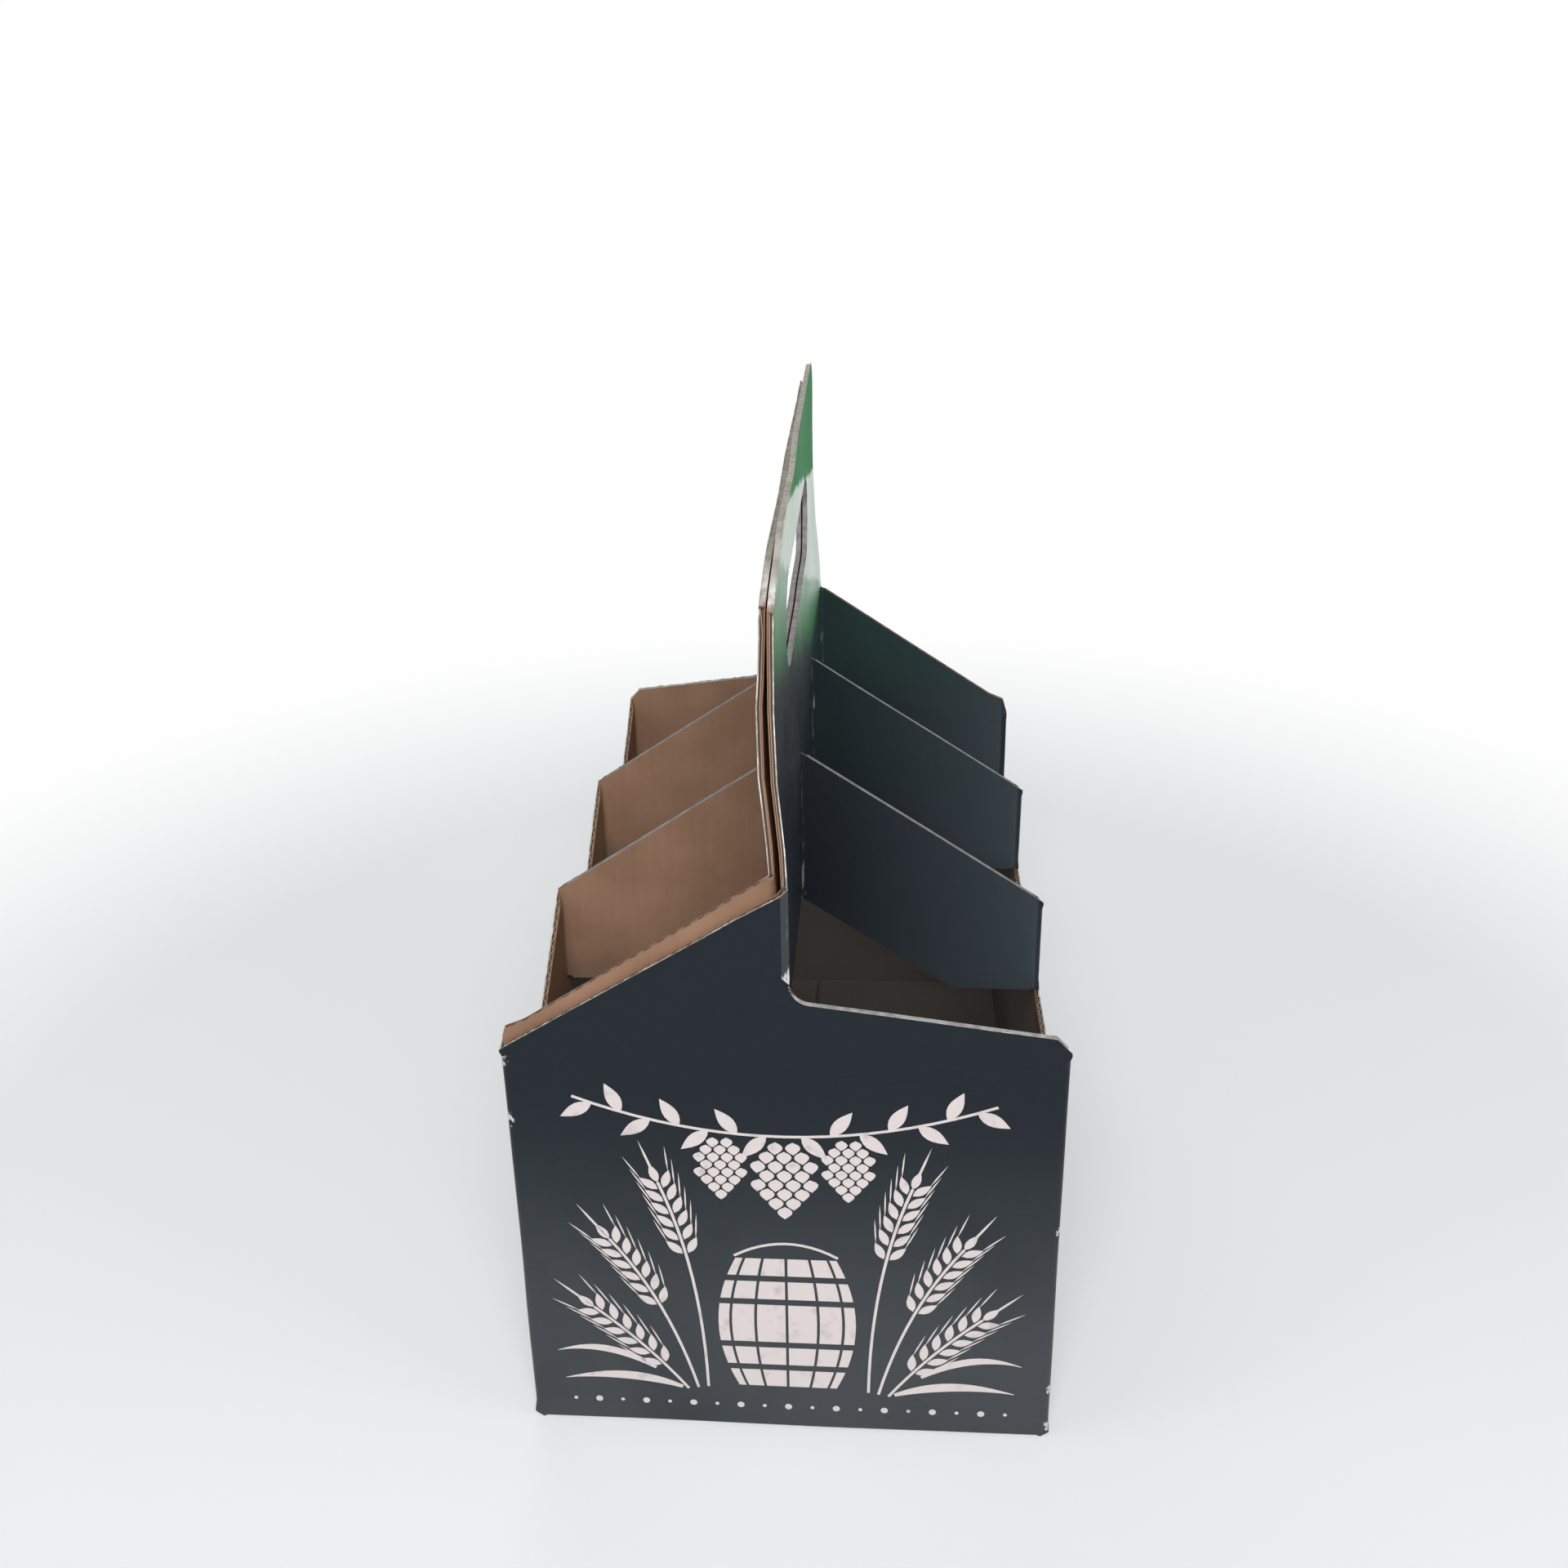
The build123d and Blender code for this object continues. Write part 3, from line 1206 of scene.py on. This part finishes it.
def printPlaces(tree):
    # coordinates, masks and noises that the colour, the wear and the gloss share
    place, split = addPlace(tree)
    across = addMath(tree, "ABSOLUTE", split["X"])
    side = addMath(tree, "SIGN", addMath(tree, "ADD", split["X"], printFinish["middle"]))
    onPly = addRange(tree, across, *printFinish["plyEnd"])
    return {
        "place": place,
        "split": split,
        "up": split["Z"],
        "across": across,
        "along": addMath(tree, "ABSOLUTE", split["Y"]),
        "run": addProduct(tree, split["Y"], side),
        "onPly": addProduct(tree, onPly, addRange(tree, split["Z"], *printFinish["handleFrom"])),
        "cloudy": addNoise(tree, place, *printFinish["clouds"]),
        "ragged": addNoise(tree, place, *printFinish["rags"]),
    }


def slantedHeight(tree, at, slope, wobble, noise):
    # height above a line that climbs along the handle, with an uneven edge
    height = addMath(tree, "MULTIPLY_ADD", at["run"], slope, at["up"])
    return addMath(tree, "MULTIPLY_ADD", noise, wobble, height)


def printColour(tree, at):
    # black, with painted light on the straps away from the handle, greyer at the foot from dust and a painted
    # floor reflection, turning to green along the handle
    inside = addRange(tree, at["along"], *printFinish["panelEnd"])
    # painted light on the straps, rising from the handle outwards
    onStrap = addRange(tree, at["across"], *printFinish["strapRun"])
    onStrap = addProduct(tree, onStrap, addRange(tree, at["across"], *printFinish["strapEnd"]), inside)
    colour = addMix(tree, onStrap, printFinish["black"], printFinish["strapBlack"])
    greener = addRange(tree, at["run"], *printFinish["greenRun"])
    greener = addProduct(tree, greener, addRange(tree, at["up"], *printFinish["greenUp"]), inside)
    greener = addProduct(tree, greener, printFinish["greenShare"])
    colour = addMix(tree, greener, colour, printFinish["greenBlack"])
    # dust and a painted floor reflection lighten the print towards the foot
    dustAndSheen = addRange(tree, at["up"], *printFinish["dustAndSheenUp"])
    dustAndSheen = addProduct(tree, dustAndSheen, addRange(tree, at["cloudy"], *printFinish["dustAndSheenPatches"]))
    colour = addMix(tree, dustAndSheen, colour, printFinish["dustAndFloorSheen"])
    slope, *fadeEnds = printFinish["fade"]
    height = slantedHeight(tree, at, slope, printFinish["fadeWobble"], at["cloudy"])
    fade = addProduct(tree, addRange(tree, height, *fadeEnds), at["onPly"])
    return addMix(tree, fade, colour, printFinish["green"])


def wornColour(tree, at, colour):
    # greyed crease with a torn white end, streaked folds and chipped corners
    scuff = printFinish["scuff"]
    creaseBand = addNode(tree, "Attribute", attribute_name="creaseBand").outputs["Fac"]
    valleyBand = addNode(tree, "Attribute", attribute_name="valleyBand").outputs["Fac"]
    colour = addMix(tree, creaseBand, colour, printFinish["creaseGrey"])
    tall = addStretched(tree, at["place"], printFinish["streakHeight"])
    streaks = addNoise(tree, tall, *printFinish["streaks"])
    rubbed = addMath(tree, "MAXIMUM", valleyBand, addProduct(tree, creaseBand, printFinish["creaseRub"]))
    streaked = addRange(tree, addProduct(tree, rubbed, streaks), *printFinish["streaked"])
    colour = addMix(tree, streaked, colour, scuff)
    tip = addMath(tree, "MULTIPLY_ADD", streaks, printFinish["tornWobble"], at["up"])
    torn = addRange(tree, tip, *[creaseStart + rise for rise in printFinish["tornUp"]])
    colour = addMix(tree, addProduct(tree, creaseBand, torn), colour, scuff)
    chipped = None
    for side, height, size in printFinish["chips"]:
        spot = (side * halfWidth, front, height)
        away = addNode(tree, "VectorMath", {0: at["place"], 1: spot}, operation="DISTANCE").outputs["Value"]
        chip = addRange(tree, away, size, size * printFinish["chipCore"])
        chipped = addMath(tree, "MAXIMUM", chipped, chip) if chipped else chip
    patchy = addProduct(tree, chipped, addNoise(tree, at["place"], *printFinish["patches"]))
    return addMix(tree, addRange(tree, patchy, *printFinish["chipped"]), colour, scuff)


def printGloss(tree, at, shader):
    # a varnished patch across the handle, and dull green above it
    ends = []
    for slope, height, soft in (printFinish["varnishFoot"], printFinish["varnishHead"]):
        uneven = slantedHeight(tree, at, slope, printFinish["varnishWobble"], at["ragged"])
        ends.append(addRange(tree, uneven, height, height + soft))
    band, bare = ends
    glossy = addProduct(tree, band, addMath(tree, "SUBTRACT", 1.0, bare), printFinish["varnish"], at["onPly"])
    tree.links.new(glossy, shader.inputs["Coat Weight"])
    dull = addProduct(tree, bare, at["onPly"], printFinish["bareRoughness"])
    dull = addMath(tree, "ADD", dull, addRange(tree, at["cloudy"], *printFinish["roughness"]))
    tree.links.new(dull, shader.inputs["Roughness"])
    shader.inputs["Specular IOR Level"].default_value = printFinish["specular"]
    shader.inputs["Coat Roughness"].default_value = printFinish["coatRoughness"]


def finishPrint():
    tree = startFinish("black_print")
    shader = tree.nodes["Principled BSDF"]
    at = printPlaces(tree)
    tree.links.new(wornColour(tree, at, printColour(tree, at)), shader.inputs["Base Color"])
    printGloss(tree, at, shader)
    grain = addNoise(tree, at["place"], *printFinish["grain"])
    relief = addMath(tree, "MULTIPLY_ADD", washboard(tree, at["split"]), printFinish["ridges"], grain)
    addBump(tree, shader, relief, *printFinish["bump"])


kraftFinish = {
    "pale": (0.315, 0.182, 0.116, 1),
    "dark": (0.265, 0.150, 0.093, 1),
    "fibre": (0.170, 0.094, 0.056, 1),
    "paintedShade": (0.108, 0.110, 0.108, 1),   # painted shade: every kraft face turns dark grey towards the floor, for the shaded inside
    "paintedShadeDown": (0.100, 0.068, 0.0, 0.85),
    "mottling": (60.0, 6.0),           # scale and detail of each noise
    "fibres": (1400.0, 3.0),
    "fibreHeight": 0.16,
    "mottled": (0.3, 0.7),
    "flecked": (0.58, 0.80, 0.0, 0.30),
    "streaked": (-1.0, 1.0, 0.0, 0.05),
    "roughness": 0.82,
    "specular": 0.15,
    "ridges": 0.25,
    "bump": (0.22, 0.0002),
    # painted shade: the channel floor between the liners is darkened for the hollow flutes behind it
    "channel": (0.05, 0.035, 0.025, 1),
    "channelShadeShare": 0.55,
    "medium": (0.42, 0.36, 0.30, 1),
    "mediumShare": 0.6,
}


def finishKraft(name, tone, share):
    tree = startFinish(name)
    shader = tree.nodes["Principled BSDF"]
    place, split = addPlace(tree)
    mottling = addNoise(tree, place, *kraftFinish["mottling"])
    fibres = addNoise(tree, addStretched(tree, place, kraftFinish["fibreHeight"]), *kraftFinish["fibres"])
    ridges = washboard(tree, split)
    mottled = addRange(tree, mottling, *kraftFinish["mottled"])
    colour = addMix(tree, mottled, kraftFinish["pale"], kraftFinish["dark"])
    colour = addMix(tree, addRange(tree, fibres, *kraftFinish["flecked"]), colour, kraftFinish["fibre"])
    colour = addMix(tree, addRange(tree, ridges, *kraftFinish["streaked"]), colour, kraftFinish["fibre"])
    # painted shade: kraft darkens to grey below about 0.1 m
    colour = addMix(tree, addRange(tree, split["Z"], *kraftFinish["paintedShadeDown"]), colour, kraftFinish["paintedShade"])
    tree.links.new(addMix(tree, share, colour, tone), shader.inputs["Base Color"])
    shader.inputs["Roughness"].default_value = kraftFinish["roughness"]
    shader.inputs["Specular IOR Level"].default_value = kraftFinish["specular"]
    relief = addMath(tree, "MULTIPLY_ADD", ridges, kraftFinish["ridges"], fibres)
    addBump(tree, shader, relief, *kraftFinish["bump"])


edgeFinish = {
    "pale": (0.74, 0.72, 0.68, 1),
    "grey": (0.40, 0.37, 0.33, 1),
    "tearing": (420.0, 5.0),           # scale and detail of the noise
    "torn": (0.35, 0.65),
    "wobble": 0.006,
    "top": (0.25, 0.235, 0.175, 1),    # yellowed top edge of the handle
    "topFrom": (0.2265, 0.2300, 0.0, 0.65),
    "bare": (0.28, 0.19, 0.135, 1),    # board showing where the pressed edge of the handle begins
    "bareUp": (0.008, 0.002),
    "bareSoft": 0.0004,
    "strap": (0.130, 0.135, 0.135, 1),    # rubbed tops of the straps, less so on the end panels
    "strapShare": (0.0958, 0.0954, 0.45, 0.78),
    "strapEnd": (0.0640, 0.0630),
    "strapTop": (0.1590, 0.1580),
    "slot": (0.13, 0.12, 0.12, 1),     # painted shade on the edges of the hand slot
    "slotShadeShare": 0.7,
    "slotSoft": 0.001,
    "roughness": 0.85,
}


def finishTornPaper(name):
    tree = startFinish(name)
    shader = tree.nodes["Principled BSDF"]
    place, split = addPlace(tree)
    up = split["Z"]
    across, along = [addMath(tree, "ABSOLUTE", split[axis]) for axis in "XY"]
    tearing = addNoise(tree, place, *edgeFinish["tearing"])
    torn = addRange(tree, tearing, *edgeFinish["torn"])
    colour = addMix(tree, torn, edgeFinish["grey"], edgeFinish["pale"])
    ragged = addMath(tree, "MULTIPLY_ADD", tearing, edgeFinish["wobble"], up)
    colour = addMix(tree, addRange(tree, ragged, *edgeFinish["topFrom"]), colour, edgeFinish["top"])
    head, soft = cuts["headFrom"], edgeFinish["bareSoft"]
    bare = addRange(tree, ragged, *[head + rise for rise in edgeFinish["bareUp"]])
    bare = addProduct(tree, bare, addRange(tree, up, head - soft, head))
    colour = addMix(tree, bare, colour, edgeFinish["bare"])
    onStrap = addRange(tree, along, *edgeFinish["strapShare"])
    onStrap = addProduct(tree, onStrap, addRange(tree, across, *edgeFinish["strapEnd"]))
    onStrap = addProduct(tree, onStrap, addRange(tree, up, *edgeFinish["strapTop"]))
    colour = addMix(tree, onStrap, colour, edgeFinish["strap"])
    soft = edgeFinish["slotSoft"]
    rise = addMath(tree, "ABSOLUTE", addMath(tree, "SUBTRACT", up, carrier["slotCentre"]))
    # painted shade darkens the edges of the hand slot
    slotShade = addRange(tree, along, halfSlot + soft, halfSlot)
    slotShade = addProduct(tree, slotShade, addRange(tree, rise, slotRound + soft, slotRound))
    slotShade = addProduct(tree, slotShade, edgeFinish["slotShadeShare"])
    tree.links.new(addMix(tree, slotShade, colour, edgeFinish["slot"]), shader.inputs["Base Color"])
    shader.inputs["Roughness"].default_value = edgeFinish["roughness"]


inkFinish = {
    "pale": (0.66, 0.59, 0.57, 1),
    "thin": (0.50, 0.45, 0.44, 1),
    "patches": (240.0, 5.0),           # scale and detail of the noise
    "covered": (0.25, 0.45),
    "roughness": (0.3, 0.7, 0.30, 0.45),
}


def finishInk(name):
    tree = startFinish(name)
    shader = tree.nodes["Principled BSDF"]
    place = addNode(tree, "TexCoord").outputs["Object"]
    patchy = addNoise(tree, place, *inkFinish["patches"])
    covered = addRange(tree, patchy, *inkFinish["covered"])
    tree.links.new(addMix(tree, covered, inkFinish["thin"], inkFinish["pale"]), shader.inputs["Base Color"])
    tree.links.new(addRange(tree, patchy, *inkFinish["roughness"]), shader.inputs["Roughness"])


def dress(piece, name):
    piece.data.materials.clear()
    piece.data.materials.append(bpy.data.materials[name])


finishPrint()
finishInk("off_white_ink")
finishKraft("kraft_liner", kraftFinish["pale"], 0.0)
finishKraft("cut_channel", kraftFinish["channel"], kraftFinish["channelShadeShare"])
finishKraft("fluted_medium", kraftFinish["medium"], kraftFinish["mediumShare"])
finishTornPaper("white_liner_edge")
finishTornPaper("torn_white_paper")
dress(frontPrint, "off_white_ink")
dress(backPrint, "off_white_ink")
dress(medium, "fluted_medium")
dress(tornEdge, "torn_white_paper")
print("finishes: done")


# studio: pale floor, soft lamps, white surround

studio = {
    "floorSize": 6.0,
    "floorDrop": 0.0002,
    "floorColour": (0.88, 0.88, 0.88, 1.0),
    "floorRoughness": 0.8,
    "under": (0.045, 0.075),       # painted shadow: the floor's white glow is left out close to the carrier
    "clearLeast": 0.22,            # stays pale under its shadow
    "clearFrom": 0.16,             # and clears to white away from it
    "clearTo": 0.50,
    "white": (1.0, 1.0, 1.0, 1.0),
    "surround": 0.20,
    "fill": (0.88, 0.97, 1.10, 1.0),
    "lamps": (                     # name, place, height of the aim, size and power
        ("lamp_front", (0.08, -1.20, 1.12), 0.08, 1.0, 20),
        ("lamp_left", (-1.25, -0.45, 0.85), 0.10, 0.8, 3),
        ("lamp_right", (1.25, -0.35, 0.85), 0.10, 0.8, 3),
        ("lamp_back", (-0.30, 1.30, 0.90), 0.10, 1.0, 4),
    ),
}


def softLamp(name, place, aimHeight, size, power):
    bpy.ops.object.light_add(type="AREA", location=place)
    lamp = bpy.context.object
    lamp.name = name
    lamp.data.shape = "DISK"
    lamp.data.size = size
    lamp.data.energy = power
    aim = Vector((0.0, 0.0, aimHeight))
    lamp.rotation_euler = (aim - Vector(place)).to_track_quat("-Z", "Y").to_euler()


def seenRay(tree):
    path = addNode(tree, "LightPath").outputs
    seen = addMath(tree, "MAXIMUM", path["Is Camera Ray"], path["Is Glossy Ray"])
    return addMath(tree, "MAXIMUM", seen, path["Is Transmission Ray"])


def addFloor():
    bpy.ops.mesh.primitive_plane_add(size=studio["floorSize"], location=(0, 0, -studio["floorDrop"]))
    floor = bpy.context.object
    floor.name = "studio_floor"
    tree = startFinish("pale_floor")
    shader = tree.nodes["Principled BSDF"]
    shader.inputs["Base Color"].default_value = studio["floorColour"]
    shader.inputs["Roughness"].default_value = studio["floorRoughness"]
    place = addNode(tree, "TexCoord").outputs["Object"]
    away = addNode(tree, "VectorMath", {0: place}, operation="LENGTH").outputs["Value"]
    # painted shadow: less white glow near the carrier darkens the floor there
    beside = addRange(tree, away, *studio["under"], 0.0, studio["clearLeast"])
    clear = addRange(tree, away, studio["clearFrom"], studio["clearTo"])
    clear = addProduct(tree, addMath(tree, "MAXIMUM", beside, clear), seenRay(tree))
    white = addNode(tree, "Emission", {"Color": studio["white"], "Strength": 1.0}).outputs[0]
    blend = addNode(tree, "MixShader", {0: clear, 1: shader.outputs[0], 2: white})
    tree.links.new(blend.outputs[0], tree.nodes["Material Output"].inputs["Surface"])
    floor.data.materials.append(bpy.data.materials["pale_floor"])


def addSurround():
    world = bpy.data.worlds.new("white_surround")
    scene.world = world
    world.use_nodes = True
    sky = world.node_tree
    fill = sky.nodes["Background"]
    fill.inputs["Color"].default_value = studio["fill"]
    fill.inputs["Strength"].default_value = studio["surround"]
    white = addNode(sky, "Background", {"Color": studio["white"], "Strength": 1.0})
    either = addNode(sky, "MixShader", {0: seenRay(sky), 1: fill.outputs[0], 2: white.outputs[0]})
    sky.links.new(either.outputs[0], sky.nodes["World Output"].inputs["Surface"])


deselectAll()
addFloor()
for lamp in studio["lamps"]:
    softLamp(*lamp)
addSurround()
scene.view_settings.view_transform = "Standard"

print("carrier: done")
